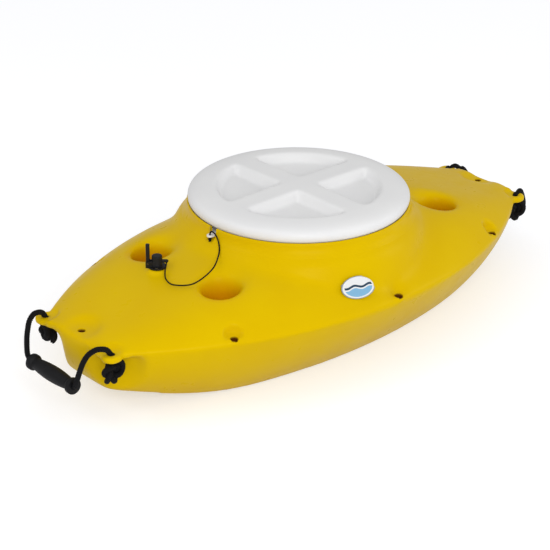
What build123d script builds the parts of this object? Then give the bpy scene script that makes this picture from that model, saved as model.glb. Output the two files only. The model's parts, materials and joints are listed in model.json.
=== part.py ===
"""Kayak-shaped floating cooler: a hollow moulded hull with a round insulated well and a turn-lock lid.

Millimetres. +X points to the stern, +Y to port, +Z up.
The origin is on the floor, under the middle of the hull.
"""

from build123d import *
import math
import os

os.makedirs("parts", exist_ok=True)

# Hull
half_length = 614.0
half_beam = 322.0
plan_radius = 952.0
gunwale_height = 160.0
deck_crown = 104.0
end_crown = 9.0
crown_half_length = 645.0
deck_fullness = 2.5
aft_rise = 0.12
aft_fullness = 1.2
shoulder_fullness = 7.0
end_fullness = 7.2
keel_rise = 68.0
keel_power = 1.7
keel_flat_half_length = 282.0
bottom_ratio_middle = 0.62
bottom_ratio_end = 0.54
side_bulge = 13.0
stem_top = 150.0
stem_rake = 104.0
stem_power = 2.4
flat_trim = 1.0
nose_outline = [(616.0, 34.0), (601.0, 60.0), (584.0, 82.0), (558.0, 106.0), (545.0, 160.0)]
nose_tuck = 24.0
nose_shortening = 0.6
wall = 5.0
overshoot = 60.0
form_stations = [-640, -560, -460, -340, -200, -70, 70, 200, 340, 460, 560, 640]
hollow_stations = [-535, -440, -340, -200, -70, 70, 200, 340, 440, 535]

# Round pedestal under the lid, and the cooler well inside it
pedestal_top_radius = 242.0
pedestal_top = 272.0
lip_top = 283.0
lip_thickness = 3.0
lip_notch_width = 18.0
pedestal_step_radius = 268.0
pedestal_step = 247.0
pedestal_foot_radius = 296.0
pedestal_foot = 172.0
well_opening_radius = 203.0
tub_top_radius = 202.0
tub_bottom_radius = 186.0
tub_bottom = 34.0
tub_wall = 4.0
flange_radius = 225.0
flange_top = 276.0
tub_straight = 250.0
foam_bottom = 7.0
foam_top = 205.0
foam_radius = 230.0
foam_waist = 120.0
foam_corner = 18.0
foam_gap = 0.5

# Turn lock: four lugs on the lid pass four notches in the ledge of the well
lock_count = 4
ledge_radius = 191.0
ledge_bottom = 262.0
ledge_top = 268.0
notch_angle = 30.0
lug_angle = 22.0
lug_radius = 196.0
lug_bottom = 252.0
lug_top = 261.0
skirt_radius = 189.5
skirt_wall = 6.0
skirt_bottom = 246.0

# Lid
lid_radius = 241.5
lid_rim_radius = 16.5
lid_plate_bottom = 279.0
lid_plate_radius = 224.0
lid_underside = 283.0
lid_top_height = 324.0
lid_dome_radius = 184.0
lid_dome_edge = 322.0
rim_arc_end = 65.0
recess_radius = 181.0
recess_floor = 301.0
recess_taper = 28.0
recess_corner = 12.0
cross_arm_width = 50.0
lid_foam_radius = 203.0
lid_foam_top = 294.0
gasket_inner_radius = 206.0
gasket_outer_radius = 220.0
gasket_gap = 0.1

# Leash: a strap ring round the neck of the lid, a cord, and an anchor on the foredeck
ring_inner_radius = 228.0
ring_outer_radius = 237.0
ring_bottom = 272.2
ring_thickness = 4.0
tab_width = 14.0
tab_reach = 259.0
tab_hole_x = -252.0
tab_hole_radius = 2.2
cord_radius = 1.6
anchor_x = -367.0
anchor_y = 34.0
anchor_seat = 226.0
anchor_angle = 137.0
anchor_flange_radius = 19.0
anchor_flange_thickness = 3.5
anchor_boss_depth = 20.0
anchor_boss_margin = 2.0
barrel_radius = 11.0
barrel_height = 27.0
barrel_edge_radius = 2.5
screw_offset = 15.0
screw_radius = 2.0
screw_depth = 16.0
screw_head_radius = 3.6
screw_head_height = 2.2
screw_cross_length = 4.4
screw_cross_width = 1.1
screw_cross_depth = 1.2
fit_gap = 0.05
lever_x = 19.0
lever_pin_height = 9.5
lever_top = 52.0
lever_thickness = 8.0
lever_width = 7.6
lever_corner = 2.0
lever_end_radius = 1.5
cheek_inner = 4.0
cheek_outer = 7.5
cheek_margin = 4.5
pin_radius = 2.0
eye_height = 14.0
eye_reach = 19.0
eye_thickness = 4.0
eye_radius = 4.5
eye_slack = 0.4
knot_ball_radius = 3.4

# Cup holders
cup_radius = 40.0
cup_depth = 68.0
cup_rim = 231.0
cup_flare = 22.0
cup_corner = 10.0
cup_places = [(x, y) for x in (-321.0, 321.0) for y in (-114.0, 114.0)]

# Tie-down sockets: blind holes in the floors of scalloped pockets
socket_radius = 7.5
socket_depth = 12.0
pocket_radius = 21.0
pocket_wall = 6.0
end_pocket_radius = 38.0
pockets = [(0.0, y, 167.0, pocket_radius) for y in (-308.0, 308.0)]
pockets += [(x, y, 168.0, pocket_radius) for x in (-383.0, 383.0) for y in (-227.0, 227.0)]
pockets += [(x, 0.0, 168.0, end_pocket_radius) for x in (-589.0, 589.0)]

# Rope ears at the four corners of the deck
ear_x = 598.0
ear_y = 110.0
ear_radius = 22.0
ear_top = 162.0
ear_bottom = 148.0
ear_pocket_radius = 27.0
rope_hole_radius = 6.6

# Carrying handles
rope_radius = 6.0
rope_end_top = 164.0
knot_radius = 21.5
knot_height = 125.0
hinge_height = 170.0
grip_x = 663.0
grip_height = 96.0
grip_half_length = 71.0
grip_bore_radius = 6.08
grip_end_radius = 17.0
grip_neck_radius = 12.0
grip_middle_radius = 16.5
grip_flange = 10.0
turn_tightness = 0.4

# Badge on the starboard side of the deck
badge_x = -91.0
badge_y = -280.0
badge_height = 203.0
badge_tilt = 58.0
badge_length = 76.0
badge_width = 50.0
badge_depth = 14.0


def beam_at(x):
    """Half-beam of the gunwale at a station."""
    return half_beam - plan_radius + math.sqrt(plan_radius**2 - x**2)


def keel_at(x):
    """Height of the bottom, which rises towards both ends and is lofted a little low, to be trimmed flat."""
    past_flat = max(0.0, abs(x) - keel_flat_half_length)
    return keel_rise * (past_flat / (half_length - keel_flat_half_length)) ** keel_power - flat_trim


def deck_at(x, y):
    """Height of the crowned deck."""
    along = min(1.0, (x / crown_half_length) ** 2)
    aft = max(0.0, x / crown_half_length)
    rise = (deck_crown * (1 - along) ** 1.5 + end_crown * along) * (1 + aft_rise * aft)
    fullness = deck_fullness + shoulder_fullness * along - end_fullness * along**2 + aft_fullness * aft
    return gunwale_height + rise * (1 - abs(y / beam_at(x)) ** fullness)


def hull_section(x, inset=0.0):
    """Closed cross-section of the hull at a station, drawn smaller by the inset."""
    beam = beam_at(x) - inset
    keel = keel_at(x) + inset
    ratio = bottom_ratio_middle + (bottom_ratio_end - bottom_ratio_middle) * (x / half_length) ** 2
    bottom = ratio * beam_at(x) - 0.5 * inset
    middle = ((beam + bottom) / 2 + side_bulge, (gunwale_height + keel) / 2)
    across = [1.0, 0.93, 0.82, 0.62, 0.32, 0.0, -0.32, -0.62, -0.82, -0.93, -1.0]
    crown = [(beam * s, deck_at(x, beam_at(x) * s) - inset * (1 - s**12)) for s in across]
    with BuildSketch(Plane.YZ.offset(x)) as section:
        with BuildLine():
            Line((-bottom, keel), (bottom, keel))
            Spline((bottom, keel), middle, (beam, gunwale_height))
            Spline(*crown)
            Spline((-beam, gunwale_height), (-middle[0], middle[1]), (-bottom, keel))
        make_face()
    return section.sketch


def undercut_section(height, tuck):
    """Area beside the nose of the hull at one corner; the tuck makes the nose narrower and shorter."""
    first = nose_outline[0][1]
    last = nose_outline[-1][1]
    side = [(x - nose_shortening * tuck, y - tuck * (last - y) / (last - first)) for x, y in nose_outline]
    tip = (half_length + 0.6 * overshoot, 0)
    outer = half_length + overshoot
    with BuildSketch(Plane.XY.offset(height)) as section:
        with BuildLine():
            Spline(tip, *side)
            Polyline(side[-1], (outer, last), (outer, 0), tip)
        make_face()
    return section.sketch


def radial_plane(angle):
    """Upright plane through the Z axis whose x runs outwards at an angle."""
    x = math.cos(math.radians(angle))
    y = math.sin(math.radians(angle))
    return Plane(origin=(0, 0, 0), x_dir=(x, y, 0), z_dir=(y, -x, 0))


def save(part, name):
    """Label one finished sub-part and write its file."""
    part.label = name
    export_step(part, f"parts/{name}.step")


anchor_turn = math.radians(anchor_angle)
anchor_plane = Plane(
    origin=(anchor_x, anchor_y, anchor_seat),
    x_dir=(math.cos(anchor_turn), math.sin(anchor_turn), 0),
    z_dir=(0, 0, 1),
)

# Space under the four ears, which narrows the nose of the hull towards the keel
with BuildPart() as ear_undercuts:
    loft(sections=[undercut_section(-wall, nose_tuck), undercut_section(ear_bottom, 0)])
    mirror(about=Plane.XZ)
    mirror(about=Plane.YZ)

# Solid outer form of the hull: lofted sections, trimmed to the raked and rounded ends
with BuildPart() as hull_form:
    loft(sections=[hull_section(x) for x in form_stations])
    with BuildSketch(Plane.XZ):
        with BuildLine():
            depths = (0.0, 0.2, 0.4, 0.6, 0.8, 1.0)
            stem = [(half_length - stem_rake * s**stem_power, stem_top * (1 - s)) for s in depths]
            top = stem_top + 2 * overshoot
            Polyline((-half_length, stem_top), (-half_length, top), (half_length, top), stem[0])
            Spline(*stem)
            Line(stem[-1], (-stem[-1][0], stem[-1][1]))
            Spline(*[(-x, z) for x, z in reversed(stem)])
        make_face()
    extrude(amount=half_length, both=True, mode=Mode.INTERSECT)
    add(ear_undercuts.part, mode=Mode.SUBTRACT)
    with BuildSketch(Plane.XZ):
        with BuildLine():
            Polyline(
                (0, pedestal_foot),
                (pedestal_foot_radius, pedestal_foot),
                (pedestal_step_radius, pedestal_step),
                (pedestal_top_radius, pedestal_top),
                (pedestal_top_radius, lip_top),
                (pedestal_top_radius - lip_thickness, lip_top),
                (pedestal_top_radius - lip_thickness, pedestal_top),
                (0, pedestal_top),
                close=True,
            )
        make_face()
    revolve(axis=Axis.Z)
    with BuildSketch(Plane.XY.offset(pedestal_top)):
        with Locations((-pedestal_top_radius, 0)):
            Rectangle(4 * lip_thickness, lip_notch_width)
    extrude(amount=lip_top - pedestal_top, mode=Mode.SUBTRACT)
    with BuildSketch(Plane.XY.offset(ear_bottom)):
        with GridLocations(2 * ear_x, 2 * ear_y, 2, 2):
            Circle(ear_radius)
    extrude(amount=ear_top - ear_bottom)
    with BuildSketch(Plane.XY.offset(anchor_seat - anchor_boss_depth)):
        with Locations((anchor_x, anchor_y)):
            Circle(anchor_flange_radius + anchor_boss_margin)
    extrude(amount=anchor_boss_depth)

# The hollow inside the hull, with solid material left round every pocket and cup holder
with BuildPart() as hollow:
    loft(sections=[hull_section(x, wall) for x in hollow_stations])
    with BuildSketch(Plane.XY.offset(cup_rim - cup_depth - wall)):
        with Locations(*cup_places):
            Circle(cup_radius + cup_flare + wall)
    extrude(amount=cup_depth + overshoot, mode=Mode.SUBTRACT)
    for x, y, floor, radius in pockets:
        with BuildSketch(Plane.XY.offset(floor - pocket_wall)):
            with Locations((x, y)):
                Circle(radius + pocket_wall)
        extrude(amount=2 * overshoot, mode=Mode.SUBTRACT)
        with BuildSketch(Plane.XY.offset(floor - socket_depth - pocket_wall)):
            with Locations((x, y)):
                Circle(socket_radius + pocket_wall)
        extrude(amount=socket_depth, mode=Mode.SUBTRACT)
    with BuildSketch(Plane.XY.offset(anchor_seat - anchor_boss_depth - wall)):
        with Locations((anchor_x, anchor_y)):
            Circle(anchor_flange_radius + anchor_boss_margin + wall)
    extrude(amount=overshoot, mode=Mode.SUBTRACT)

with BuildPart() as hull_shell:
    add(hull_form.part)
    add(hollow.part, mode=Mode.SUBTRACT)
    with BuildSketch(Plane.XY.offset(pedestal_top - overshoot)):
        Circle(well_opening_radius)
    extrude(amount=2 * overshoot, mode=Mode.SUBTRACT)
    for x, y in cup_places:
        with BuildSketch(Plane(origin=(x, y, 0), x_dir=(1, 0, 0), z_dir=(0, -1, 0))):
            with BuildLine():
                mouth = cup_radius + cup_flare
                above = cup_rim + overshoot
                floor = cup_rim - cup_depth
                Polyline((mouth, cup_rim), (mouth, above), (0, above), (0, floor))
                Line((0, floor), (cup_radius - cup_corner, floor))
                RadiusArc((cup_radius - cup_corner, floor), (cup_radius, floor + cup_corner), -cup_corner)
                Line((cup_radius, floor + cup_corner), (cup_radius, cup_rim - cup_flare))
                RadiusArc((cup_radius, cup_rim - cup_flare), (mouth, cup_rim), cup_flare)
            make_face()
        revolve(axis=Axis((x, y, 0), (0, 0, 1)), mode=Mode.SUBTRACT)
    for x, y, floor, radius in pockets:
        with BuildSketch(Plane.XY.offset(floor)):
            with Locations((x, y)):
                Circle(radius)
        extrude(amount=2 * overshoot, mode=Mode.SUBTRACT)
        with BuildSketch(Plane.XY.offset(floor - socket_depth)):
            with Locations((x, y)):
                Circle(socket_radius)
        extrude(amount=socket_depth, mode=Mode.SUBTRACT)
    with BuildSketch(Plane.XY.offset(ear_top)):
        with GridLocations(2 * ear_x, 2 * ear_y, 2, 2):
            Circle(ear_pocket_radius)
    extrude(amount=overshoot, mode=Mode.SUBTRACT)
    with BuildSketch(Plane.XY.offset(ear_bottom - wall)):
        with GridLocations(2 * ear_x, 2 * ear_y, 2, 2):
            Circle(rope_hole_radius)
    extrude(amount=overshoot, mode=Mode.SUBTRACT)
    with BuildSketch(Plane.XY.offset(anchor_seat)):
        with Locations((anchor_x, anchor_y)):
            Circle(anchor_flange_radius + 1.5 * anchor_boss_margin)
    extrude(amount=overshoot, mode=Mode.SUBTRACT)
    with BuildSketch(anchor_plane.offset(-screw_depth - screw_radius)):
        with Locations((0, screw_offset), (0, -screw_offset)):
            Circle(screw_radius + fit_gap)
    extrude(amount=screw_depth + screw_radius, mode=Mode.SUBTRACT)
save(hull_shell.part, "hull_shell")

# Moulded tub of the cooler well, hung in the pedestal by its flange
with BuildPart() as cooler_liner:
    with BuildSketch(Plane.XZ):
        with BuildLine():
            Polyline(
                (0, tub_bottom),
                (tub_bottom_radius, tub_bottom),
                (tub_top_radius, tub_straight),
                (tub_top_radius, pedestal_top),
                (flange_radius, pedestal_top),
                (flange_radius, flange_top),
                (tub_top_radius - tub_wall, flange_top),
                (tub_top_radius - tub_wall, ledge_top),
                (ledge_radius, ledge_top),
                (ledge_radius, ledge_bottom),
                (tub_top_radius - tub_wall, ledge_bottom),
                (tub_top_radius - tub_wall, tub_straight),
                (tub_bottom_radius - tub_wall, tub_bottom + tub_wall),
                (0, tub_bottom + tub_wall),
                close=True,
            )
        make_face()
    revolve(axis=Axis.Z)
    for turn in range(lock_count):
        start = 360 / lock_count * (turn + 0.5) - notch_angle / 2
        with BuildSketch(radial_plane(start)):
            with Locations(((ledge_radius + lug_radius + 1) / 2, (ledge_bottom + ledge_top) / 2)):
                Rectangle(lug_radius - ledge_radius + 3, ledge_top - ledge_bottom + 1)
        revolve(axis=Axis.Z, revolution_arc=notch_angle, mode=Mode.SUBTRACT)
save(cooler_liner.part, "cooler_liner")

# Foam jacket round and under the tub
with BuildPart() as foam_jacket:
    with BuildSketch(Plane.XZ):
        with BuildLine():
            taper = (tub_top_radius - tub_bottom_radius) / (tub_straight - tub_bottom)
            inner_top = tub_bottom_radius + taper * (foam_top - tub_bottom) + foam_gap
            Polyline(
                (0, foam_bottom),
                (tub_bottom_radius, foam_bottom),
                (foam_radius - foam_corner, tub_bottom),
                (foam_radius, foam_waist),
                (foam_radius, foam_top),
                (inner_top, foam_top),
                (tub_bottom_radius + foam_gap, tub_bottom - foam_gap),
                (0, tub_bottom - foam_gap),
                close=True,
            )
        make_face()
    revolve(axis=Axis.Z)
save(foam_jacket.part, "foam_jacket")

# Lid: a domed top with four hand recesses, a base plate with the lock skirt, and foam between them
with BuildPart() as lid_top:
    with BuildSketch(Plane.XZ):
        with BuildLine():
            rim_centre = lid_radius - lid_rim_radius
            Line((0, lid_underside), (rim_centre, lid_underside))
            rim_middle = (rim_centre, lid_underside + lid_rim_radius)
            rim = CenterArc(rim_middle, lid_rim_radius, -90, 90 + rim_arc_end)
            Spline(rim @ 1, (lid_dome_radius, lid_dome_edge), tangents=(rim % 1, (-1, 0.05)))
            Polyline((lid_dome_radius, lid_dome_edge), (0, lid_top_height), (0, lid_underside))
        make_face()
    revolve(axis=Axis.Z)
    with BuildSketch(Plane.XY.offset(lid_top_height + 1)):
        with BuildLine():
            near = cross_arm_width / 2
            far = math.sqrt(recess_radius**2 - near**2)
            middle = recess_radius * math.sqrt(0.5)
            Polyline((far, near), (near, near), (near, far))
            ThreePointArc((near, far), (middle, middle), (far, near))
        make_face()
        fillet(vertices(), recess_corner)
        mirror(about=Plane.XZ)
        mirror(about=Plane.YZ)
    extrude(amount=recess_floor - lid_top_height - 1, taper=recess_taper, mode=Mode.SUBTRACT)
    with BuildSketch(Plane.XY.offset(lid_underside)):
        Circle(lid_foam_radius)
    extrude(amount=lid_foam_top - lid_underside, mode=Mode.SUBTRACT)
save(lid_top.part, "lid_top")

with BuildPart() as lid_foam:
    with BuildSketch(Plane.XY.offset(lid_underside + foam_gap)):
        Circle(lid_foam_radius - foam_gap)
    extrude(amount=lid_foam_top - lid_underside - 2 * foam_gap)
save(lid_foam.part, "lid_foam")

with BuildPart() as lid_base:
    with BuildSketch(Plane.XZ):
        with BuildLine():
            Polyline(
                (0, lid_plate_bottom),
                (skirt_radius - skirt_wall, lid_plate_bottom),
                (skirt_radius - skirt_wall, skirt_bottom),
                (skirt_radius, skirt_bottom),
                (skirt_radius, lid_plate_bottom),
                (lid_plate_radius, lid_plate_bottom),
                (lid_plate_radius, lid_underside),
                (0, lid_underside),
                close=True,
            )
        make_face()
    revolve(axis=Axis.Z)
    for turn in range(lock_count):
        start = 360 / lock_count * (turn + 0.5) - lug_angle / 2
        with BuildSketch(radial_plane(start)):
            with Locations(((skirt_radius + lug_radius - 1) / 2, (lug_bottom + lug_top) / 2)):
                Rectangle(lug_radius - skirt_radius + 1, lug_top - lug_bottom)
        revolve(axis=Axis.Z, revolution_arc=lug_angle)
save(lid_base.part, "lid_base")

with BuildPart() as lid_gasket:
    with BuildSketch(Plane.XY.offset(flange_top + gasket_gap)):
        Circle(gasket_outer_radius)
        Circle(gasket_inner_radius, mode=Mode.SUBTRACT)
    extrude(amount=lid_plate_bottom - flange_top - gasket_gap)
save(lid_gasket.part, "lid_gasket")

# Strap ring that keeps the lid on its leash, with a holed tab towards the bow
with BuildPart() as leash_ring:
    with BuildSketch(Plane.XY.offset(ring_bottom)):
        Circle(ring_outer_radius)
        tab_length = tab_reach - ring_inner_radius - tab_width / 2
        with Locations((-ring_inner_radius - tab_length / 2, 0)):
            Rectangle(tab_length, tab_width)
        with Locations((-ring_inner_radius - tab_length, 0)):
            Circle(tab_width / 2)
        Circle(ring_inner_radius, mode=Mode.SUBTRACT)
        with Locations((tab_hole_x, 0)):
            Circle(tab_hole_radius, mode=Mode.SUBTRACT)
    extrude(amount=ring_thickness)
save(leash_ring.part, "leash_ring")

with BuildPart() as leash_knot:
    with Locations((tab_hole_x, 0, ring_bottom - knot_ball_radius - 0.5)):
        Sphere(knot_ball_radius)
    with BuildSketch(Plane.XY.offset(ring_bottom - knot_ball_radius)):
        with Locations((tab_hole_x, 0)):
            Circle(cord_radius)
    extrude(amount=ring_thickness + knot_ball_radius + 2)
save(leash_knot.part, "leash_knot")

# Leash anchor: a screwed-down base with a barrel, hinge cheeks for the lever and an eye for the cord
with BuildPart() as anchor_base:
    with BuildSketch(anchor_plane):
        Circle(anchor_flange_radius)
    extrude(amount=anchor_flange_thickness)
    with BuildSketch(anchor_plane):
        Circle(barrel_radius)
    extrude(amount=barrel_height)
    fillet(edges().group_by(Axis.Z)[-1], barrel_edge_radius)
    with BuildSketch(anchor_plane):
        with Locations((0, (cheek_inner + cheek_outer) / 2), (0, -(cheek_inner + cheek_outer) / 2)):
            Rectangle(2 * (lever_x + cheek_margin), cheek_outer - cheek_inner)
        with Locations((-lever_x, 0)):
            Rectangle(2 * lever_x, 4 * cheek_outer, mode=Mode.SUBTRACT)
    extrude(amount=lever_pin_height + cheek_margin)
    with BuildSketch(anchor_plane.offset(eye_height - eye_thickness / 2)):
        with Locations((-eye_reach / 2, 0)):
            Rectangle(eye_reach, 2 * eye_radius)
        with Locations((-eye_reach, 0)):
            Circle(eye_radius)
            Circle(cord_radius + eye_slack, mode=Mode.SUBTRACT)
    extrude(amount=eye_thickness)
    pin_line = anchor_plane.location * Location((lever_x, 0, lever_pin_height), (90, 0, 0))
    with BuildSketch(Plane(pin_line)):
        Circle(pin_radius + fit_gap)
    extrude(amount=2 * cheek_outer, both=True, mode=Mode.SUBTRACT)
    with BuildSketch(anchor_plane):
        with Locations((0, screw_offset), (0, -screw_offset)):
            Circle(screw_radius + fit_gap)
    extrude(amount=anchor_flange_thickness, mode=Mode.SUBTRACT)
save(anchor_base.part, "anchor_base")

with BuildPart() as anchor_lever:
    with BuildSketch(anchor_plane.offset(lever_pin_height)):
        with Locations((lever_x, 0)):
            RectangleRounded(lever_thickness, lever_width, lever_corner)
    extrude(amount=lever_top - lever_pin_height)
    fillet(edges().group_by(Axis.Z)[-1], lever_end_radius)
    with BuildSketch(Plane(pin_line)):
        Circle(lever_thickness / 2)
    extrude(amount=lever_width / 2, both=True)
    with BuildSketch(Plane(pin_line)):
        Circle(pin_radius + fit_gap)
    extrude(amount=2 * cheek_outer, both=True, mode=Mode.SUBTRACT)
save(anchor_lever.part, "anchor_lever")

with BuildPart() as anchor_pin:
    with BuildSketch(Plane(pin_line)):
        Circle(pin_radius)
    extrude(amount=cheek_outer, both=True)
save(anchor_pin.part, "anchor_pin")

with BuildPart() as anchor_screws:
    for side in (-1, 1):
        with BuildSketch(anchor_plane.offset(-screw_depth)):
            with Locations((0, side * screw_offset)):
                Circle(screw_radius)
        extrude(amount=screw_depth + anchor_flange_thickness)
        with BuildSketch(anchor_plane.offset(anchor_flange_thickness)):
            with Locations((0, side * screw_offset)):
                Circle(screw_head_radius)
        extrude(amount=screw_head_height)
        with BuildSketch(anchor_plane.offset(anchor_flange_thickness + screw_head_height)):
            with Locations((0, side * screw_offset)):
                Rectangle(screw_cross_length, screw_cross_width)
                Rectangle(screw_cross_width, screw_cross_length)
        extrude(amount=-screw_cross_depth, mode=Mode.SUBTRACT)
save(anchor_screws.part, "anchor_screws")

# Slack leash cord, from the eye of the anchor over the deck to the tab of the ring
with BuildPart() as leash_cord:
    with BuildLine() as cord_line:
        Spline(
            (-352, 20, 236),
            (-366, 9, 230),
            (-386, -18, 224),
            (-390, -52, 223),
            (-366, -73, 229),
            (-306, -64, 242),
            (-268, -44, 251),
            (-262, -20, 262),
        )
    with BuildSketch(Plane(origin=cord_line.line @ 0, z_dir=cord_line.line % 0)):
        Circle(cord_radius)
    sweep(path=cord_line.line)
save(leash_cord.part, "leash_cord")

# Rope carrying handles, the same at both ends
for end_name, end in (("bow", -1), ("stern", 1)):
    with BuildPart() as rope_ends:
        for side in (-1, 1):
            with BuildSketch(Plane(origin=(end * ear_x, side * ear_y, 0), x_dir=(1, 0, 0), z_dir=(0, -1, 0))):
                with BuildLine():
                    knot_bottom = (0, knot_height - knot_radius)
                    ThreePointArc(knot_bottom, (knot_radius, knot_height), (0, knot_height + knot_radius))
                    Line((0, knot_height + knot_radius), knot_bottom)
                make_face()
            revolve(axis=Axis((end * ear_x, side * ear_y, 0), (0, 0, 1)))
            with BuildSketch(Plane.XY.offset(knot_height)):
                with Locations((end * ear_x, side * ear_y)):
                    Circle(rope_radius)
            extrude(amount=rope_end_top - knot_height)
    save(rope_ends.part, f"{end_name}_rope_ends")

    with BuildPart() as rope_loop:
        with BuildLine() as loop_line:
            arch = [
                (ear_x, ear_y, hinge_height),
                (613, 107, 181),
                (637, 101, 177),
                (659, 92, 150),
                (664, 88, 120),
                (grip_x, grip_half_length + 1, grip_height),
            ]
            starboard = [(end * x, -y, z) for x, y, z in arch]
            port = [(end * x, y, z) for x, y, z in reversed(arch)]
            Spline(*starboard, tangents=((0, 0, 1), (0, 1, 0)), tangent_scalars=(1, turn_tightness))
            Line(starboard[-1], port[0])
            Spline(*port, tangents=((0, 1, 0), (0, 0, -1)), tangent_scalars=(turn_tightness, 1))
        with BuildSketch(Plane.XY.offset(hinge_height)):
            with Locations((end * ear_x, -ear_y)):
                Circle(rope_radius)
        sweep(path=loop_line.line)
    save(rope_loop.part, f"{end_name}_rope_loop")

    with BuildPart() as grip:
        with BuildSketch(Plane(origin=(end * grip_x, 0, grip_height), x_dir=(0, 1, 0), z_dir=(1, 0, 0))):
            with BuildLine():
                neck = grip_half_length - 1.5 * grip_flange
                Polyline(
                    (-neck, grip_neck_radius),
                    (-grip_half_length + grip_flange, grip_end_radius),
                    (-grip_half_length, grip_end_radius),
                    (-grip_half_length, grip_bore_radius),
                    (grip_half_length, grip_bore_radius),
                    (grip_half_length, grip_end_radius),
                    (grip_half_length - grip_flange, grip_end_radius),
                    (neck, grip_neck_radius),
                )
                Spline((neck, grip_neck_radius), (0, grip_middle_radius), (-neck, grip_neck_radius))
            make_face()
        revolve(axis=Axis((end * grip_x, 0, grip_height), (0, 1, 0)))
    save(grip.part, f"{end_name}_grip")

# Oval badge: a plate with a flat face and an underside that follows the deck
with BuildPart() as badge:
    heading = math.atan2(badge_y, badge_x)
    tilt = math.radians(badge_tilt)
    outward = (math.sin(tilt) * math.cos(heading), math.sin(tilt) * math.sin(heading), math.cos(tilt))
    along = (-math.sin(heading), math.cos(heading), 0)
    with BuildSketch(Plane(origin=(badge_x, badge_y, badge_height), x_dir=along, z_dir=outward)):
        Ellipse(badge_length / 2, badge_width / 2)
    extrude(amount=-badge_depth)
    add(hull_form.part, mode=Mode.SUBTRACT)
save(badge.part, "badge")
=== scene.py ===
"""Looks of the floating cooler: softly moulded hull and lid, braided ropes with knots, badge and fittings.

Metres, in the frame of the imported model: +X stern, +Y port, +Z up.
"""

import json
import math

import bmesh
import bpy
import numpy as np
from mathutils import Matrix, Quaternion, Vector


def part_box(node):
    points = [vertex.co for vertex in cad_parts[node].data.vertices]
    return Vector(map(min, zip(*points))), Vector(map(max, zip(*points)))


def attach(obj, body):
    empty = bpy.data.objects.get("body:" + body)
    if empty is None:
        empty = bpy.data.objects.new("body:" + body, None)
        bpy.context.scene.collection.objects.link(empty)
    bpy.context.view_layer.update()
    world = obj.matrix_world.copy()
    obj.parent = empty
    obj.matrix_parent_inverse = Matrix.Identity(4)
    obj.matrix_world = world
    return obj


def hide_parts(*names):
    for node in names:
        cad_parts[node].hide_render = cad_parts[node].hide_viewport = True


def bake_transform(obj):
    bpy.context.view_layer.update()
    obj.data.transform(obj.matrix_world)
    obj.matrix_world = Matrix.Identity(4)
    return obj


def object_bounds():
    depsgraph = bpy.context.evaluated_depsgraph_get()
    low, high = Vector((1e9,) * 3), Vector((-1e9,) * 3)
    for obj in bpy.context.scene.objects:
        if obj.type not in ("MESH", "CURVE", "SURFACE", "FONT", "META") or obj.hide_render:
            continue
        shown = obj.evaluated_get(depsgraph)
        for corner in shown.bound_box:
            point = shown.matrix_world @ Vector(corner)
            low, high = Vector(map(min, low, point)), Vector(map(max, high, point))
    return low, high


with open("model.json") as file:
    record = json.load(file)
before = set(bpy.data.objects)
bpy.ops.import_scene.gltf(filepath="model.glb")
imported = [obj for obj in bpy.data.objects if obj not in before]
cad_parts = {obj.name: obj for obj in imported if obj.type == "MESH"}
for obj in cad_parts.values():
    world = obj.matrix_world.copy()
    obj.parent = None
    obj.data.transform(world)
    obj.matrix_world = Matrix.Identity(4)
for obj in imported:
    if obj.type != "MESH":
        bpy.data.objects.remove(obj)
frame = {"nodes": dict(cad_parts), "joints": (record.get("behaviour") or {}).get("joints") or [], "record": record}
cad_low, cad_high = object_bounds()

MM = 0.001

HULL_VOXEL = 3.0 * MM
HULL_SMOOTH_STEPS = 120
POLISH_STEPS = 40
POLISH_SWELL = 1.05
LID_VOXEL = 2.5 * MM
LID_SMOOTH_STEPS = 60
LID_SMOOTH_SHARE = 0.16

WELL_RADIUS = 203 * MM
PEDESTAL_RADIUS = 240 * MM
# how far from a cup holder's axis its painted shade reaches
CUP_REACH = 56 * MM
# how far from a socket's axis its painted shade reaches
SOCKET_BORE_REACH = 9.6 * MM

ROPE_RADIUS = 6.0 * MM
CORD_RADIUS = 1.6 * MM
ROPE_STEP = 1.0 * MM
KNOT_STEP = 1.1 * MM
CORD_STEP = 0.6 * MM
KNOT_SCALE = 1.17
LEASH_KNOT_SCALE = 0.30


# ---------------------------------------------------------------- places taken from the frame


def joint_position(name):
    """Where a joint of the record sits."""
    return Vector(next(j for j in frame["joints"] if j["name"] == name)["pos_m"])


def places(ending):
    """Positions of the record's mounts whose names share an ending."""
    return [Vector(m["pos_m"]) for m in frame["record"]["mounts"] if m["name"].endswith(ending)]


sockets = places("_socket")
cups = places("_cup_holder")
liner_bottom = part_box("cooler_liner")[0].z
ring_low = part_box("leash_ring")[0]
shoulder = ring_low.z
knots_low, knots_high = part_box("stern_rope_ends")
knot_radius = (knots_high.x - knots_low.x) / 2
ear_y = knots_high.y - knot_radius


# ---------------------------------------------------------------- materials


def node_material(name, base, roughness, build=None, **inputs):
    """Principled material; build(nodes, links, shader) adds its procedural detail."""
    material = bpy.data.materials.new(name)
    material.use_nodes = True
    tree = material.node_tree
    shader = tree.nodes["Principled BSDF"]
    shader.inputs["Base Color"].default_value = (*base, 1)
    shader.inputs["Roughness"].default_value = roughness
    for key, value in inputs.items():
        shader.inputs[key.replace("_", " ")].default_value = value
    if build:
        build(tree.nodes, tree.links, shader)
    return material


def noise(nodes, links, scale, detail=3.0, roughness=0.5, stretch=(1, 1, 1)):
    """Noise in the frame's own coordinates."""
    place = nodes.new("ShaderNodeTexCoord")
    mapping = nodes.new("ShaderNodeMapping")
    mapping.inputs["Scale"].default_value = stretch
    texture = nodes.new("ShaderNodeTexNoise")
    texture.inputs["Scale"].default_value = scale
    texture.inputs["Detail"].default_value = detail
    texture.inputs["Roughness"].default_value = roughness
    links.new(place.outputs["Object"], mapping.inputs["Vector"])
    links.new(mapping.outputs["Vector"], texture.inputs["Vector"])
    return texture.outputs["Fac"]


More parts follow.
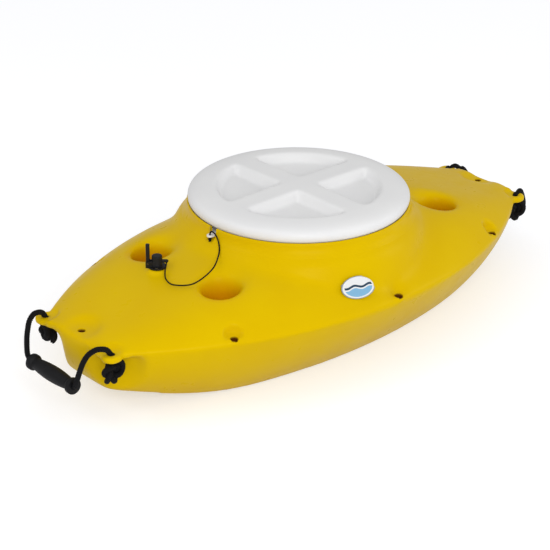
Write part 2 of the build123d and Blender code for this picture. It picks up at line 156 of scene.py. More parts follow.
def remap(nodes, links, value, low, high, new_low, new_high):
    """Stretches a value from one range to another."""
    node = nodes.new("ShaderNodeMapRange")
    for socket, number in zip(("From Min", "From Max", "To Min", "To Max"), (low, high, new_low, new_high)):
        node.inputs[socket].default_value = number
    links.new(value, node.inputs["Value"])
    return node.outputs["Result"]


def mixed(nodes, links, factor, first, second):
    """Colour that runs from first to second; either may be a tuple or a socket."""
    node = nodes.new("ShaderNodeMix")
    node.data_type = "RGBA"
    links.new(factor, node.inputs["Factor"])
    for socket, colour in ((node.inputs[6], first), (node.inputs[7], second)):
        if isinstance(colour, tuple):
            socket.default_value = (*colour, 1)
        else:
            links.new(colour, socket)
    return node.outputs[2]


def bumped(nodes, links, shader, layers):
    """Chains bump nodes; each layer is (height socket, depth in metres)."""
    normal = None
    for height, depth in layers:
        bump = nodes.new("ShaderNodeBump")
        bump.inputs["Distance"].default_value = depth
        links.new(height, bump.inputs["Height"])
        if normal:
            links.new(normal, bump.inputs["Normal"])
        normal = bump.outputs["Normal"]
    links.new(normal, shader.inputs["Normal"])


def moulded(tint, shade, rough_low, rough_high, grain_depth, hollows=()):
    """Rotomoulded polyethylene: cloudy tint, orange-peel grain and patchy gloss.

    The hollows are (attribute, colour) pairs of painted shade.
    Where a vertex attribute rises to 1 the plastic takes that colour, painting shade into the hollow.
    """

    def build(nodes, links, shader):
        cloud = remap(nodes, links, noise(nodes, links, 9.0, 4.0), 0.35, 0.65, 0.0, 1.0)
        colour = mixed(nodes, links, cloud, tint, shade)
        # painted shade in the hollows, laid over the plastic's colour by vertex attribute
        for attribute, shade_colour in hollows:
            depth = nodes.new("ShaderNodeAttribute")
            depth.attribute_name = attribute
            colour = mixed(nodes, links, depth.outputs["Fac"], colour, shade_colour)
        links.new(colour, shader.inputs["Base Color"])
        gloss = remap(nodes, links, noise(nodes, links, 28.0, 5.0, 0.6), 0.3, 0.7, rough_low, rough_high)
        links.new(gloss, shader.inputs["Roughness"])
        bumped(nodes, links, shader, [(noise(nodes, links, 170.0, 1.0), grain_depth)])

    return build


def rubber(nodes, links, shader):
    """Moulded rubber: fine grain, dusty patches."""
    dust = remap(nodes, links, noise(nodes, links, 45.0, 5.0), 0.5, 0.8, 0.0, 0.35)
    colour = mixed(nodes, links, dust, (0.006, 0.006, 0.007), (0.014, 0.014, 0.014))
    links.new(colour, shader.inputs["Base Color"])
    bumped(nodes, links, shader, [(noise(nodes, links, 1600.0, 2.0), 0.25 * MM)])


def fibre(nodes, links, shader):
    """Twisted filaments along a braided strand; the strand's U runs round it and V along it."""
    uv = nodes.new("ShaderNodeTexCoord")
    mapping = nodes.new("ShaderNodeMapping")
    mapping.inputs["Rotation"].default_value = (0, 0, math.radians(32))
    wave = nodes.new("ShaderNodeTexWave")
    wave.inputs["Scale"].default_value = 5.0
    wave.inputs["Distortion"].default_value = 1.5
    links.new(uv.outputs["UV"], mapping.inputs["Vector"])
    links.new(mapping.outputs["Vector"], wave.inputs["Vector"])
    fuzz = noise(nodes, links, 2500.0, 3.0)
    tone = remap(nodes, links, fuzz, 0.35, 0.75, 0.0, 1.0)
    colour = mixed(nodes, links, tone, (0.004, 0.004, 0.005), (0.013, 0.012, 0.014))
    links.new(colour, shader.inputs["Base Color"])
    bumped(nodes, links, shader, [(wave.outputs["Fac"], 0.3 * MM), (fuzz, 0.15 * MM)])


def foam_cells(nodes, links, shader):
    """Open surface of cut foam."""
    place = nodes.new("ShaderNodeTexCoord")
    cells = nodes.new("ShaderNodeTexVoronoi")
    cells.inputs["Scale"].default_value = 380.0
    links.new(place.outputs["Object"], cells.inputs["Vector"])
    links.new(
        mixed(nodes, links, cells.outputs["Distance"], (0.86, 0.80, 0.62), (0.70, 0.62, 0.44)),
        shader.inputs["Base Color"],
    )
    bumped(nodes, links, shader, [(cells.outputs["Distance"], 0.8 * MM)])


def brushed(nodes, links, shader):
    """Turned steel with fine rings and dull patches."""
    lines = noise(nodes, links, 900.0, 2.0, stretch=(1, 1, 6))
    links.new(remap(nodes, links, lines, 0.3, 0.7, 0.22, 0.42), shader.inputs["Roughness"])
    bumped(nodes, links, shader, [(lines, 0.05 * MM)])


YELLOW = (0.675, 0.452, 0.0)
YELLOW_SHADE = (0.660, 0.432, 0.0)
# painted shade: orange for deep down the cup holders
CUP_PAINTED_SHADE = (0.66, 0.30, 0.0)
# painted shade: dark brown for the socket bores
BORE_PAINTED_SHADE = (0.10, 0.028, 0.004)
WHITE = (0.77, 0.77, 0.77)
WHITE_SHADE = (0.745, 0.745, 0.75)

# the hull's plastic carries painted shade: orange in the cup holders, dark brown in the socket bores
hull_plastic = node_material(
    "hull_polyethylene", YELLOW, 0.36,
    moulded(YELLOW, YELLOW_SHADE, 0.26, 0.38, 0.10 * MM, (("depth", CUP_PAINTED_SHADE), ("bore", BORE_PAINTED_SHADE))),
    Specular_IOR_Level=0.07, Specular_Tint=(1.0, 0.86, 0.30, 1.0),
)
lid_plastic = node_material(
    "lid_polyethylene", WHITE, 0.42, moulded(WHITE, WHITE_SHADE, 0.36, 0.50, 0.10 * MM),
    Specular_IOR_Level=0.3,
)
tub_plastic = node_material(
    "tub_polyethylene", WHITE, 0.32, moulded((0.73, 0.74, 0.75), (0.68, 0.70, 0.72), 0.26, 0.36, 0.12 * MM),
)
black_plastic = node_material(
    "black_nylon", (0.007, 0.007, 0.008), 0.42,
    moulded((0.007, 0.007, 0.008), (0.012, 0.011, 0.012), 0.34, 0.5, 0.10 * MM), Specular_IOR_Level=0.25,
)
grip_rubber = node_material("grip_rubber", (0.007, 0.007, 0.008), 0.55, rubber, Specular_IOR_Level=0.2)
seal_rubber = node_material("seal_rubber", (0.01, 0.01, 0.01), 0.55, rubber, Specular_IOR_Level=0.3)
rope_fibre = node_material("rope_fibre", (0.006, 0.006, 0.007), 0.72, fibre, Specular_IOR_Level=0.2)
foam = node_material("polyurethane_foam", (0.82, 0.74, 0.55), 0.85, foam_cells)
steel = node_material("blackened_steel", (0.10, 0.10, 0.105), 0.4, brushed, Metallic=1.0)


def badge_print(nodes, links, shader):
    """Plain decal: white ground, slate rim and a blue wave. UV runs from -1 to 1 across the oval."""
    uv = nodes.new("ShaderNodeTexCoord")
    parts = nodes.new("ShaderNodeSeparateXYZ")
    links.new(uv.outputs["UV"], parts.inputs["Vector"])

    def maths(operation, first, second=0.0):
        node = nodes.new("ShaderNodeMath")
        node.operation = operation
        for socket, value in zip(node.inputs, (first, second)):
            if isinstance(value, float):
                socket.default_value = value
            else:
                links.new(value, socket)
        return node.outputs[0]

    x, y = parts.outputs["X"], parts.outputs["Y"]
    radius = maths("SQRT", maths("ADD", maths("MULTIPLY", x, x), maths("MULTIPLY", y, y)))
    swell = maths("MULTIPLY", maths("SINE", maths("MULTIPLY", x, 7.0)), 0.09)
    height = maths("ADD", y, swell)
    inside = maths("LESS_THAN", radius, 0.83)
    sea = maths("MULTIPLY", maths("LESS_THAN", height, -0.12), inside)
    from_crest = maths("ABSOLUTE", maths("ADD", height, -0.10))
    crest = maths("MULTIPLY", maths("LESS_THAN", from_crest, 0.10), inside)
    rim = maths("GREATER_THAN", radius, 0.94)
    colour = mixed(nodes, links, sea, (0.74, 0.75, 0.76), (0.20, 0.42, 0.62))
    colour = mixed(nodes, links, crest, colour, (0.02, 0.05, 0.09))
    colour = mixed(nodes, links, rim, colour, (0.30, 0.36, 0.42))
    links.new(colour, shader.inputs["Base Color"])
    bumped(nodes, links, shader, [(noise(nodes, links, 300.0, 2.0), 0.05 * MM)])


badge_film = node_material("badge_film", (0.82, 0.83, 0.84), 0.25, badge_print)


# ---------------------------------------------------------------- mesh helpers


def add_object(name, mesh, material):
    """Links a mesh as a named piece with its material."""
    mesh.name = name
    mesh.materials.clear()
    mesh.materials.append(material)
    mesh.polygons.foreach_set("use_smooth", [True] * len(mesh.polygons))
    piece = bpy.data.objects.new(name, mesh)
    bpy.context.scene.collection.objects.link(piece)
    return piece


def mesh_from(name, points, faces):
    """A mesh out of points and faces."""
    mesh = bpy.data.meshes.new(name)
    mesh.from_pydata([tuple(p) for p in points], [], [tuple(f) for f in faces])
    mesh.update()
    return mesh


def evaluated_mesh(piece):
    """The piece's mesh with its modifiers applied."""
    graph = bpy.context.evaluated_depsgraph_get()
    return bpy.data.meshes.new_from_object(piece.evaluated_get(graph))


def vertex_array(mesh):
    """Every vertex position, one row each."""
    points = np.empty(len(mesh.vertices) * 3, np.float32)
    mesh.vertices.foreach_get("co", points)
    return points.reshape(-1, 3).astype(float)


def island_labels(first, second, count):
    """A number for every vertex, the same for all vertices that edges (first, second) connect."""
    label = np.arange(count)
    while True:
        low = np.minimum(label[first], label[second])
        new = label.copy()
        np.minimum.at(new, first, low)
        np.minimum.at(new, second, low)
        new = new[new]
        if np.array_equal(new, label):
            return label
        label = new


def largest_island(mesh):
    """Keeps only the connected piece with the most vertices."""
    edges = np.empty(len(mesh.edges) * 2, np.int32)
    mesh.edges.foreach_get("vertices", edges)
    label = island_labels(*edges.reshape(-1, 2).T, len(mesh.vertices))
    keep = np.argmax(np.bincount(label))
    if (label == keep).all():
        return
    work = bmesh.new()
    work.from_mesh(mesh)
    work.verts.ensure_lookup_table()
    doomed = [work.verts[i] for i in np.flatnonzero(label != keep)]
    bmesh.ops.delete(work, geom=doomed, context="VERTS")
    work.to_mesh(mesh)
    work.free()


def relax(mesh, weight_at, steps, swell=0.0):
    """Rounds a dense mesh; weight_at(points) gives each vertex its share of the move.

    A swell near 1 pushes back every second step, so that only ripples go.
    """
    edges = np.empty(len(mesh.edges) * 2, np.int32)
    mesh.edges.foreach_get("vertices", edges)
    first, second = edges.reshape(-1, 2).T
    points = vertex_array(mesh)
    count = len(points)
    valence = np.bincount(first, minlength=count) + np.bincount(second, minlength=count)
    share = 0.5 * weight_at(points)[:, None]
    for step in range(steps):
        mean = np.empty_like(points)
        for axis in range(3):
            mean[:, axis] = np.bincount(first, points[second, axis], count)
            mean[:, axis] += np.bincount(second, points[first, axis], count)
        pull = -swell if swell and step % 2 else 1.0
        points += pull * share * (mean / valence[:, None] - points)
    mesh.vertices.foreach_set("co", points.astype(np.float32).ravel())
    mesh.update()


def voxel_skin(name, shells, voxel):
    """One watertight skin of even quads round (points, faces) shells."""
    points, faces = [], []
    for shell_points, shell_faces in shells:
        offset = len(points)
        points.extend(tuple(p) for p in shell_points)
        faces.extend(tuple(offset + i for i in face) for face in shell_faces)
    rough = bpy.data.objects.new("rough_" + name, mesh_from("rough", points, faces))
    bpy.context.scene.collection.objects.link(rough)
    modifier = rough.modifiers.new("skin", "REMESH")
    modifier.mode = "VOXEL"
    modifier.voxel_size = voxel
    skin = evaluated_mesh(rough)
    bpy.data.objects.remove(rough)
    largest_island(skin)
    return skin


def shell_of(mesh):
    """Points and faces of a mesh."""
    return vertex_array(mesh), [tuple(p.vertices) for p in mesh.polygons]


def outer_shell(name, bore):
    """Outside of a hollow CAD node as points and faces, left open where its round bore begins.

    The third value is the height of the bore's top.
    """
    weld, slack = 0.01 * MM, 0.05 * MM
    points, faces = shell_of(frame["nodes"][name].data)
    keys, index = np.unique(np.round(points / weld).astype(int), axis=0, return_inverse=True)
    points = keys * weld
    faces = index.ravel()[np.array(faces)]
    on_bore = np.abs(np.hypot(points[:, 0], points[:, 1]) - bore) < slack
    faces = faces[~on_bore[faces].all(axis=1)]
    first = faces.ravel()
    second = np.roll(faces, 1, axis=1).ravel()
    label = island_labels(first, second, len(points))
    outside = label[np.argmax(points[:, 0])]
    return points, faces[label[faces[:, 0]] == outside].tolist(), points[on_bore, 2].max()


def lathe(profile, start=0.0, sweep=math.tau, segments=180, closed=True):
    """(radius, z) profile turned round Z; a closed one given part of a turn gets end caps."""
    full = abs(sweep - math.tau) < 1e-9
    columns = segments if full else segments + 1
    points, faces = [], []
    for i in range(columns):
        angle = start + sweep * i / segments
        points += [(r * math.cos(angle), r * math.sin(angle), z) for r, z in profile]
    n = len(profile)
    for i in range(segments):
        here, there = i * n, (i + 1) % columns * n
        for j in range(n if closed else n - 1):
            k = (j + 1) % n
            faces.append((here + j, there + j, there + k, here + k))
    if closed and not full:
        faces.append(tuple(range(n - 1, -1, -1)))
        faces.append(tuple(range((columns - 1) * n, columns * n)))
    return np.array(points), faces


# ---------------------------------------------------------------- hull


def bell(value, middle, width):
    """1 at the middle, falling off smoothly."""
    return np.exp(-(((value - middle) / width) ** 2))


def distances(points, spots):
    """Distance in plan from every point to the nearest spot."""
    return np.min([np.hypot(points[:, 0] - spot.x, points[:, 1] - spot.y) for spot in spots], axis=0)


def hull_weight(points):
    """How much each place on the hull is rounded: much at the ends, the cups and the pedestal's fillet."""
    x, y, z = points.T
    radius = np.hypot(x, y)
    weight = np.full(len(points), 0.12)
    for share, distance, middle, width, floor_z in (
        (0.85, radius, 0.292, 0.034, 0.15),
        (0.10, radius, 0.262, 0.012, 0.22),
        (0.80, distances(points, cups), 0.054, 0.018, 0.175),
    ):
        weight += share * bell(distance, middle, width) * (z > floor_z)
    end_face = (np.abs(x) > 0.48) & ((np.abs(y) < 0.12) | (z < 0.155))
    rope_ears = (np.abs(x) > 0.570) & (np.abs(y) > 0.078) & (z > 0.138)
    bores = (distances(points, sockets) < 0.0135) & (z > 0.1) & (z < 0.185)
    weight[end_face] = 0.45
    weight[rope_ears] = 0.07
    weight[bores] = 0.012
    weight[radius < PEDESTAL_RADIUS] *= 0.1
    return np.clip(weight, 0.0, 1.0)


def polish_weight(points):
    """Full weight everywhere but round the sockets, whose edges stay crisp."""
    return np.where(distances(points, sockets) < 14 * MM, 0.1, 1.0)


def shade_hollows(mesh):
    """Vertex attributes of painted shade: orange deepening down the cup holders and dark brown in the socket
    bores.
    """
    points = vertex_array(mesh)
    z = points[:, 2]
    # painted shade: below the rim the cup holders' walls turn orange with depth
    cup_top, cup_fade, cup_painted_shade = cups[0].z + 30 * MM, 42 * MM, 0.9
    # painted shade: the socket bores turn dark brown below their rim
    bore_top, bore_fade = sockets[0].z + 6.2 * MM, 2 * MM
    in_cup = (distances(points, cups) < CUP_REACH) & (z > 0.155)
    in_bore = (distances(points, sockets) < SOCKET_BORE_REACH) & (z > 0.152)
    depth = np.clip((cup_top - z) / cup_fade, 0, 1) * in_cup
    bore = np.clip((bore_top - z) / bore_fade, 0, 1) * in_bore
    for name, values in (("depth", cup_painted_shade * depth), ("bore", bore)):
        attribute = mesh.attributes.new(name, "FLOAT", "POINT")
        attribute.data.foreach_set("value", values.astype(np.float32))


def make_hull():
    """Skin of the hull: the moulded outside with a plain well, without the hollow between the walls."""
    shell_points, shell_faces, rim = outer_shell("hull_shell", WELL_RADIUS)
    shell_points[:, 2] = np.minimum(shell_points[:, 2], shoulder)
    wall, under = WELL_RADIUS + 2 * MM, liner_bottom - 4 * MM
    well = [(WELL_RADIUS, rim), (wall, rim - 12 * MM), (wall, under), (0.3 * MM, under)]
    skin = voxel_skin("hull", [(shell_points, shell_faces), lathe(well, closed=False)], HULL_VOXEL)
    relax(skin, polish_weight, POLISH_STEPS, POLISH_SWELL)
    relax(skin, hull_weight, HULL_SMOOTH_STEPS)
    shade_hollows(skin)
    hull = add_object("hull_skin", skin, hull_plastic)
    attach(hull, "hull")
    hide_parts("hull_shell")


make_hull()


def make_lip():
    """Raised lip round the shoulder of the pedestal, with a notch for the leash tab."""
    inner, outer, half_notch = 238.5 * MM, 243 * MM, 9 * MM
    top = shoulder + 17.2 * MM
    profile = [(inner, shoulder - 10 * MM), (inner, top - MM), (inner + MM, top), (outer - 1.2 * MM, top)]
    flare = [(0, 1.2), (0.4, 6), (1, 11), (2.4, 16), (5, 21), (9, 26.5), (14, 33.5), (16, 40)]
    profile += [(outer + out * MM, top - down * MM) for out, down in flare]
    notch = half_notch / outer
    points, faces = lathe(profile, math.pi + notch, math.tau - 2 * notch, 240)
    lip = add_object("hull_lip", mesh_from("lip", points, faces), hull_plastic)
    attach(lip, "hull")


make_lip()


# ---------------------------------------------------------------- lid


def make_lid():
    """Skin of the lid top, with softened recesses and rim."""
    skin = voxel_skin("lid", [shell_of(frame["nodes"]["lid_top"].data)], LID_VOXEL)
    relax(skin, lambda points: np.full(len(points), LID_SMOOTH_SHARE), LID_SMOOTH_STEPS)
    lid = add_object("lid_skin", skin, lid_plastic)
    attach(lid, "lid")
    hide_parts("lid_top")


make_lid()


# ---------------------------------------------------------------- ropes


def distance_along(path):
    """How far along a path each of its points lies."""
    return np.concatenate([[0], np.cumsum(np.linalg.norm(np.diff(path, axis=0), axis=1))])


def smooth_path(controls, spacing):
    """Evenly spaced points on a Catmull-Rom curve through the controls."""
    p = np.array(controls, float)
    p = np.vstack([2 * p[0] - p[1], p, 2 * p[-1] - p[-2]])
    t = np.linspace(0, 1, 24, endpoint=False)[:, None]
    dense = []
    for a, b, c, d in zip(p[:-3], p[1:-2], p[2:-1], p[3:]):
        square, cube = 2 * a - 5 * b + 4 * c - d, 3 * b - a - 3 * c + d
        dense.append(0.5 * (2 * b + (c - a) * t + square * t**2 + cube * t**3))
    dense = np.vstack(dense + [p[-2:-1]])
    reach = distance_along(dense)
    even = np.linspace(0, reach[-1], max(4, round(reach[-1] / spacing)))
    return np.column_stack([np.interp(even, reach, dense[:, i]) for i in range(3)])


def path_frames(path):
    """Two unit vectors across the path at each point, carried along without twist."""
    tangent = np.gradient(path, axis=0)
    tangent /= np.linalg.norm(tangent, axis=1)[:, None]
    across = np.cross(tangent[0], (0.3, 0.2, 1.0))
    side = []
    for direction in tangent:
        across = across - direction * (across @ direction)
        across /= np.linalg.norm(across)
        side.append(across)
    side = np.array(side)
    return side, np.cross(tangent, side)


def tube(centres, long_axis, short_axis, half_width, half_height, sides):
    """Points, faces and UVs of a closed elliptic tube.

    U runs round it and V along it, in section widths.
    """
    count = len(centres)
    turn = np.linspace(0, math.tau, sides, endpoint=False) - math.pi / 2
    ring = (
        centres[:, None, :]
        + long_axis[:, None, :] * (half_width * np.cos(turn))[None, :, None]
        + short_axis[:, None, :] * (half_height * np.sin(turn))[None, :, None]
    )
    along = distance_along(centres) / (2 * half_width)
    around = np.linspace(0, 2, sides, endpoint=False)
    uvs = np.column_stack([np.tile(around, count), np.repeat(along, sides)])
    here = np.arange(sides)
    next_side = (here + 1) % sides
    quads = np.stack([here, next_side, next_side + sides, here + sides], axis=1)
    faces = [tuple(face) for i in range(count - 1) for face in (quads + i * sides).tolist()]
    faces.append(tuple(range(sides - 1, -1, -1)))
    faces.append(tuple(range((count - 1) * sides, count * sides)))
    return ring.reshape(-1, 3), faces, uvs


def join(shells):
    """One shell out of several (points, faces, uvs)."""
    faces, offset = [], 0
    for points, shell_faces, _ in shells:
        faces += [tuple(offset + i for i in face) for face in shell_faces]
        offset += len(points)
    return np.vstack([s[0] for s in shells]), faces, np.vstack([s[2] for s in shells])


def braid(path, radius, carriers=6, pitch_ratio=5.2, sides=6):
    """A round braid along a path: strands wind both ways round a core and pass over and under each other."""
    side, up = path_frames(path)
    reach = distance_along(path)
    thickness, lift, overlap, core_sides = 0.17 * radius, 0.085 * radius, 1.06, 10
    centre_radius = radius - thickness - lift
    turn_rate = math.tau / (pitch_ratio * radius)
    slant = math.atan(turn_rate * centre_radius)
    half_width = overlap * math.pi * centre_radius / carriers * math.cos(slant)
    core = centre_radius - 0.2 * thickness
    shells = [tube(path, side, up, core, core, core_sides)]
    for sense in (1, -1):
        wave = sense * np.cos(carriers * turn_rate * reach)
        for carrier in range(carriers):
            angle = math.tau * carrier / carriers + sense * turn_rate * reach
            outward = side * np.cos(angle)[:, None] + up * np.sin(angle)[:, None]
            centres = path + outward * (centre_radius + lift * wave)[:, None]
            across = np.cross(np.gradient(centres, axis=0), outward)
            across /= np.linalg.norm(across, axis=1)[:, None]
            shells.append(tube(centres, across, outward, half_width, thickness, sides))
    return join(shells)


def stopper_knot():
    """Double overhand knot, millimetres, rope radius 5.

    The rope drops in at the top, winds twice round a ring while it crosses itself five times,
    and the tail leaves below.
    """
    ring, swing, depth, cut, crossings, rounds = 9.4, 4.9, 5.6, 0.3, 5, 2
    controls = [(0, 0, 33), (0.5, -1, 27), (5, -4, 20), (10.5, -6, 10)]
    steps = 44
    for i in range(steps + 1):
        turn = -cut - (rounds * math.tau - 2 * cut) * i / steps
        phase = crossings / rounds * turn
        reach = ring + swing * math.cos(phase)
        controls.append((reach * math.cos(turn), depth * math.sin(phase), reach * math.sin(turn)))
    controls += [(13, 6, -6), (12, 7, -16), (10, 7, -23)]
    return np.array(controls, float)


def settle(path, diameter, rounds=120):
    """Presses a rope's neighbouring passes apart until they lie side by side, with both ends held."""
    stiffness, neighbours, press = 0.12, 1.6, 0.5
    path = path.copy()
    count = len(path)
    spacing = np.linalg.norm(np.diff(path, axis=0), axis=1).mean()
    apart = int(neighbours * diameter / spacing)
    far = np.abs(np.subtract.outer(np.arange(count), np.arange(count))) > apart
    for _ in range(rounds):
        gap = path[:, None, :] - path[None, :, :]
        distance = np.linalg.norm(gap, axis=2) + 1e-9
        overlap = np.where(far & (distance < diameter), diameter - distance, 0.0)
        push = (gap / distance[:, :, None] * overlap[:, :, None]).sum(axis=1)
        touching = np.maximum((overlap > 0).sum(axis=1), 1)[:, None]
        path[1:-1] += press * (push / touching)[1:-1]
        path[1:-1] += stiffness * (0.5 * (path[:-2] + path[2:]) - path[1:-1])
    return path


knot_path = settle(smooth_path(stopper_knot(), spacing=3.0), diameter=9.4)


def rope_piece(name, shells):
    """One piece of rope out of braided shells, with its UVs."""
    points, faces, uvs = join(shells)
    mesh = mesh_from(name, points, faces)
    corners = np.empty(len(mesh.loops), np.int32)
    mesh.loops.foreach_get("vertex_index", corners)
    mesh.uv_layers.new(name="UVMap").data.foreach_set("uv", uvs[corners].astype(np.float32).ravel())
    return add_object(name, mesh, rope_fibre)


def fitted_knot(scale, turn, place, step):
    """Knot path in metres, turned about Z, with its rope's top end carried over the place."""
    spin = Matrix.Rotation(turn, 3, "Z")
    path = smooth_path(knot_path * scale * MM, step)
    top = path[0].copy()
    path[:, :2] -= top[:2]
    return path @ np.array(spin).T + np.array(place)


def make_handle(end, name, rise, spread):
    """Both knots and the loop of rope at one end.

    The rise and the spread say how high and how far out the loop arches.
    """
    hinge = joint_position(f"{name}_handle_swing")
    grip_axis = joint_position(f"{name}_grip_spin")
    knot_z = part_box(f"{name}_rope_ends")[0].z + 18 * MM
    knots = []
    for side, tightness, lift, heading in ((-1, 1.0, 0.0, -15), (1, 0.84, 6 * MM, 95)):
        place = (hinge.x, side * ear_y, knot_z + lift)
        path = fitted_knot(KNOT_SCALE * tightness, math.radians(heading) * end, place, KNOT_STEP)
        knots.append(braid(path, ROPE_RADIUS))
    knot = rope_piece(f"{name}_knots", knots)
    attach(knot, "hull")
    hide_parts(f"{name}_rope_ends")

    reach = abs(grip_axis.x) - abs(hinge.x)
    grip_low, grip_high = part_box(f"{name}_grip")
    half = (grip_high.y - grip_low.y) / 2
    drop = grip_axis.z - hinge.z
    bend_x = (reach - 0.002) * (1 + spread) / 2
    arch = [
        (0, 0, -0.022),
        (0, 0, -0.015),
        (0.003, -0.001, -0.007),
        (0.010, -0.002, rise - 0.006),
        (0.021 * spread, -0.004, rise - 0.001),
        (0.034 * spread, -0.007, rise),
        (0.048 * spread, -0.012, rise - 0.008),
        (0.057 * spread, -0.017, -0.015),
        (bend_x, -0.021, -0.034),
        (reach + 0.003, -0.028, drop + 0.013),
        (reach + 0.001, half + 0.002 - ear_y, drop + 0.001),
    ]
    near = [(end * (abs(hinge.x) + x), ear_y + y, hinge.z + z) for x, y, z in arch]
    grip_line = [(grip_axis.x, s * half * 0.9, grip_axis.z) for s in (1, 0.5, 0, -0.5, -1)]
    path = near + grip_line + [(x, -y, z) for x, y, z in reversed(near)]
    loop = rope_piece(f"{name}_rope", [braid(smooth_path(path, ROPE_STEP), ROPE_RADIUS)])
    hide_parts(f"{name}_rope_loop")
    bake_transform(loop)


make_handle(-1, "bow", rise=9 * MM, spread=1.0)
make_handle(1, "stern", rise=-6 * MM, spread=0.72)


# ---------------------------------------------------------------- leash


def make_leash():
    """Cord from the anchor's eye over the deck and up through the tab of the ring, with its knot below."""
    hole = Vector((ring_low.x + 7 * MM, 0, ring_low.z))
    over_deck = [(-352, 20, 240), (-360, 13, 236), (-372, 2, 228), (-387, -20, 223), (-391, -50, 223)]
    over_deck += [(-364, -80, 228), (-310, -74, 240)]
    up_pedestal = [(-268, -46, 250), (-253, -30, 264), (-249, -16, 279), (-251, -5, 285)]
    path = [tuple(v * MM for v in p) for p in over_deck + up_pedestal]
    path += [(hole.x, 0, hole.z + 0.007), (hole.x, 0, hole.z)]
    line = braid(smooth_path(path, CORD_STEP), CORD_RADIUS, carriers=4, sides=5)
    cord = rope_piece("leash_line", [line])
    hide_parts("leash_cord")
    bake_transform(cord)

    below = (hole.x, hole.y, hole.z - 5.5 * MM)
    path = fitted_knot(LEASH_KNOT_SCALE, 0.6, below, CORD_STEP)
    knot = rope_piece("leash_stopper", [braid(path, CORD_RADIUS, carriers=4, sides=5)])
    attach(knot, "lid_ring")
    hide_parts("leash_knot")


make_leash()


# ---------------------------------------------------------------- badge


def make_badge():
    """Thin domed decal laid on the deck where the badge node sits."""
    low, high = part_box("badge")
    centre = (low + high) / 2
    heading = math.atan2(centre.y, centre.x)
    tilt, fold, rim_share = math.radians(58), 1.6, 0.35
    out = Vector((math.sin(tilt) * math.cos(heading), math.sin(tilt) * math.sin(heading), math.cos(tilt)))
    along = Vector((-math.sin(heading), math.cos(heading), 0))
    up = out.cross(along)
    half_length, half_width, film = 0.038, 0.0235, 0.0009
    rings, segments = 12, 72
    graph = bpy.context.evaluated_depsgraph_get()
    points, uvs = [], []
    spots = [(0.0, 0.0)]
    for i in range(1, rings + 1):
        spots += [(i / rings, math.tau * j / segments) for j in range(segments)]
    for radius, angle in spots:
        u, v = radius * math.cos(angle), radius * math.sin(angle)
        start = centre + along * (u * half_length) + up * (v * half_width) + out * 0.06
        place = bpy.context.scene.ray_cast(graph, start, -out)[1]
        edge = rim_share + (1 - rim_share) * math.sqrt(max(0.0, 1 - radius**6))
        points.append(place + out * (film * edge))
        uvs.append((u, v))
    faces = [(0, 1 + j, 1 + (j + 1) % segments) for j in range(segments)]
    for i in range(rings - 1):
        for j in range(segments):
            a, b = 1 + i * segments + j, 1 + i * segments + (j + 1) % segments
            faces.append((a, a + segments, b + segments, b))
    top = len(points)
    points += [p - out * (film * fold) for p in points]
    faces += [tuple(top + i for i in reversed(face)) for face in faces]
    last = 1 + (rings - 1) * segments
    for j in range(segments):
        a, b = last + j, last + (j + 1) % segments
        faces.append((a, top + a, top + b, b))
    mesh = mesh_from("badge", points, faces)
    layer = mesh.uv_layers.new(name="UVMap")
    for loop in mesh.loops:
        layer.data[loop.index].uv = uvs[loop.vertex_index % top]
    badge = add_object("badge_decal", mesh, badge_film)
    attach(badge, "hull")
    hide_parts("badge")


make_badge()


# ---------------------------------------------------------------- fittings that keep their CAD shape


def dress(node, material, bevel=0.0):
    """Gives a CAD node its material and softened edges."""
    piece = frame["nodes"][node]
    piece.data.materials.clear()
    piece.data.materials.append(material)
    if bevel:
        weld = piece.modifiers.new("weld", "WELD")
        weld.merge_threshold = 0.00002
        round_edges = piece.modifiers.new("round_edges", "BEVEL")
        round_edges.width = bevel
        round_edges.segments = 2
        round_edges.limit_method = "ANGLE"
        round_edges.angle_limit = math.radians(35)
        round_edges.harden_normals = True


for node, material, bevel in (
    ("cooler_liner", tub_plastic, 0.0),
    ("foam_jacket", foam, 0.0),
    ("lid_foam", foam, 0.0),
    ("lid_base", lid_plastic, 0.0),
    ("lid_gasket", seal_rubber, 0.0),
    ("leash_ring", lid_plastic, 0.0006),
    ("anchor_base", black_plastic, 0.0005),
    ("anchor_lever", black_plastic, 0.0005),
    ("anchor_pin", steel, 0.0003),
    ("anchor_screws", steel, 0.0003),
    ("bow_grip", grip_rubber, 0.0024),
    ("stern_grip", grip_rubber, 0.0024),
):
    dress(node, material, bevel)


# ---------------------------------------------------------------- stage


def backlit(nodes, links, shader):
    """Glow of a lit sweep, which only the camera sees."""
    path = nodes.new("ShaderNodeLightPath")
    shader.inputs["Emission Color"].default_value = (1, 1, 1, 1)
    glow = remap(nodes, links, path.outputs["Is Camera Ray"], 0.0, 1.0, 0.20, 0.50)
    links.new(glow, shader.inputs["Emission Strength"])


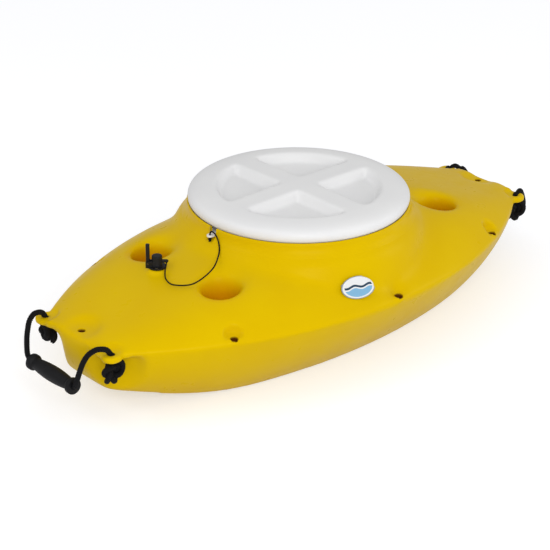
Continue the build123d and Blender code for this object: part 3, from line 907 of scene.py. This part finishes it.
def studio_world():
    """White surround: dimmer in reflections, brighter to the camera."""
    ambient, in_gloss, extra_seen = 0.71, 0.40, 0.5
    world = bpy.data.worlds.new("studio")
    world.use_nodes = True
    nodes, links = world.node_tree.nodes, world.node_tree.links
    background = nodes["Background"]
    background.inputs["Color"].default_value = (1, 1, 1, 1)
    ray = nodes.new("ShaderNodeLightPath")
    dimmed = remap(nodes, links, ray.outputs["Is Glossy Ray"], 0.0, 1.0, ambient, in_gloss)
    seen = remap(nodes, links, ray.outputs["Is Camera Ray"], 0.0, 1.0, 0.0, extra_seen)
    strength = nodes.new("ShaderNodeMath")
    links.new(dimmed, strength.inputs[0])
    links.new(seen, strength.inputs[1])
    links.new(strength.outputs[0], background.inputs["Strength"])
    return world


def make_stage():
    """Pale sweep, soft lights and the camera."""
    scene = bpy.context.scene
    paper = node_material("paper", (0.61, 0.615, 0.64), 0.95, backlit, Specular_IOR_Level=0.0)
    half = 6
    corners = [(-half, -half, 0), (half, -half, 0), (half, half, 0), (-half, half, 0)]
    floor = mesh_from("floor", corners, [(0, 1, 2, 3)])
    floor.materials.append(paper)
    ground = bpy.data.objects.new("floor", floor)
    scene.collection.objects.link(ground)
    ground.location.z = cad_low.z - 0.4 * MM

    scene.world = studio_world()
    scene.view_settings.view_transform = "Standard"

    lit_point = Vector((0, 0, 0.12))
    for name, place, size, power in (
        ("key", (-2.6, 0.8, 2.4), 1.4, 12),
        ("front", (-1.8, -2.7, 1.7), 1.8, 46),
        ("side", (2.4, -2.0, 1.4), 1.4, 12),
    ):
        lamp = bpy.data.lights.new(name, "AREA")
        lamp.shape = "DISK"
        lamp.size = size
        lamp.energy = power
        lamp_object = bpy.data.objects.new(name, lamp)
        lamp_object.location = place
        lamp_object.rotation_mode = "QUATERNION"
        lamp_object.rotation_quaternion = (lit_point - Vector(place)).to_track_quat("-Z", "Y")
        scene.collection.objects.link(lamp_object)

    azimuth, elevation, distance = math.radians(43.02), math.radians(25.75), 3.9315
    aim = Vector((0, 0, 0.102))
    level = math.cos(elevation)
    look = Vector((math.sin(azimuth) * level, math.cos(azimuth) * level, -math.sin(elevation)))
    camera = bpy.data.cameras.new("camera")
    camera.lens = 116.06
    camera.sensor_width = 36.0
    camera.shift_x = -0.0415
    camera.shift_y = 0.0002
    camera_object = bpy.data.objects.new("camera", camera)
    camera_object.location = aim - look * distance
    camera_object.rotation_mode = "QUATERNION"
    roll = Quaternion(look, math.radians(-0.66))
    camera_object.rotation_quaternion = roll @ look.to_track_quat("-Z", "Y")
    scene.collection.objects.link(camera_object)
    scene.camera = camera_object


make_stage()
